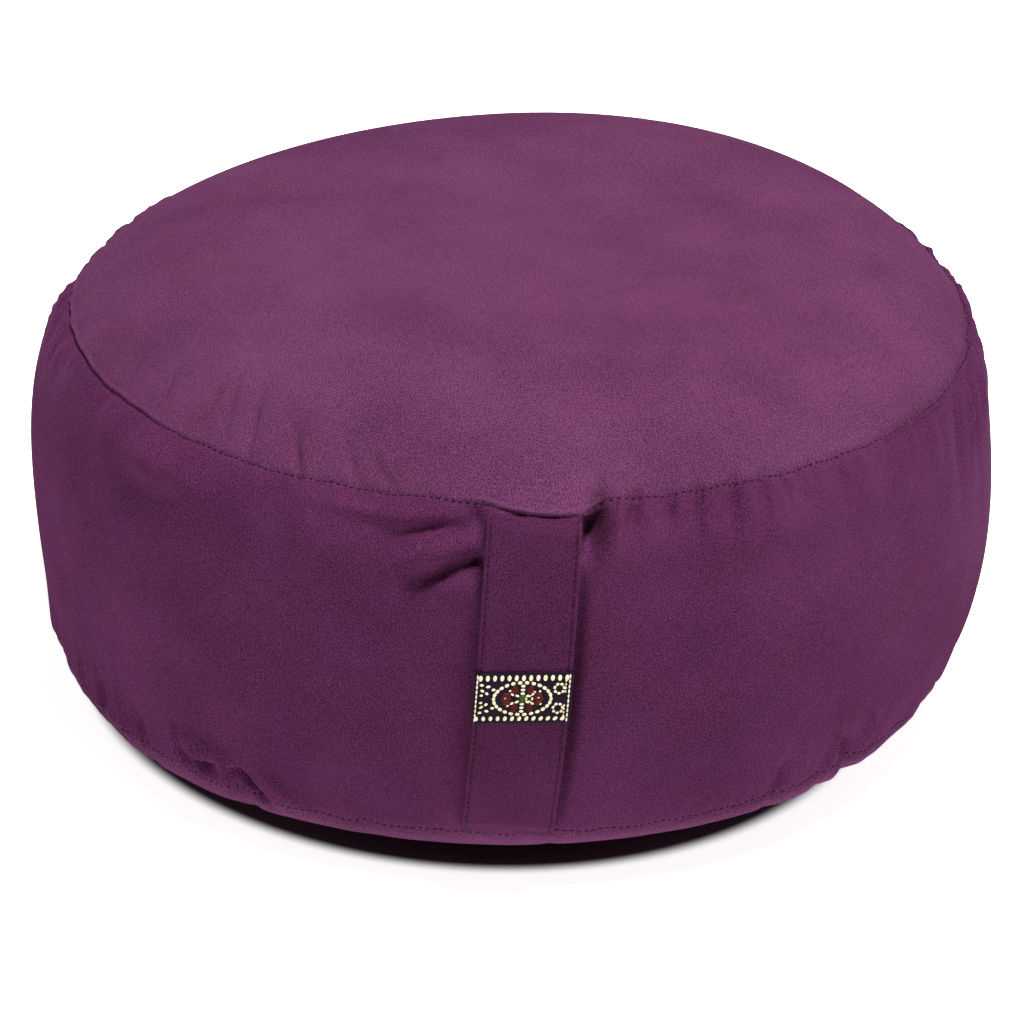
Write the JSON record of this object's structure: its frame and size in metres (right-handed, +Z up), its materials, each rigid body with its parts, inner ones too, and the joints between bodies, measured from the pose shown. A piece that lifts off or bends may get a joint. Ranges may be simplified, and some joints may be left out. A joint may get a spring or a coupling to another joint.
{
  "type": "round meditation cushion",
  "caption": "Round drum-shaped meditation cushion in plum cotton, firmly filled, with crowned top, seamed side band, carry strap and woven ribbon.",
  "frame": {"origin": "middle of the outline seen from above, carry strap included, on the surface the cushion rests on", "axes": "+Z up; the carry strap is on the -Y side, and +X is to the right of someone who looks at the strap"},
  "size_m": [0.3298, 0.3416, 0.1683],
  "materials": {
    "cotton_twill": "matte plum cotton twill, sewn with thread of the same colour",
    "woven_ribbon": "dark woven ribbon with raised gold, red and green threads"
  },
  "bodies": {
    "root": {"cushion": "cotton_twill", "handle_strap": "cotton_twill", "ribbon": "woven_ribbon"}
  },
  "joints": []
}
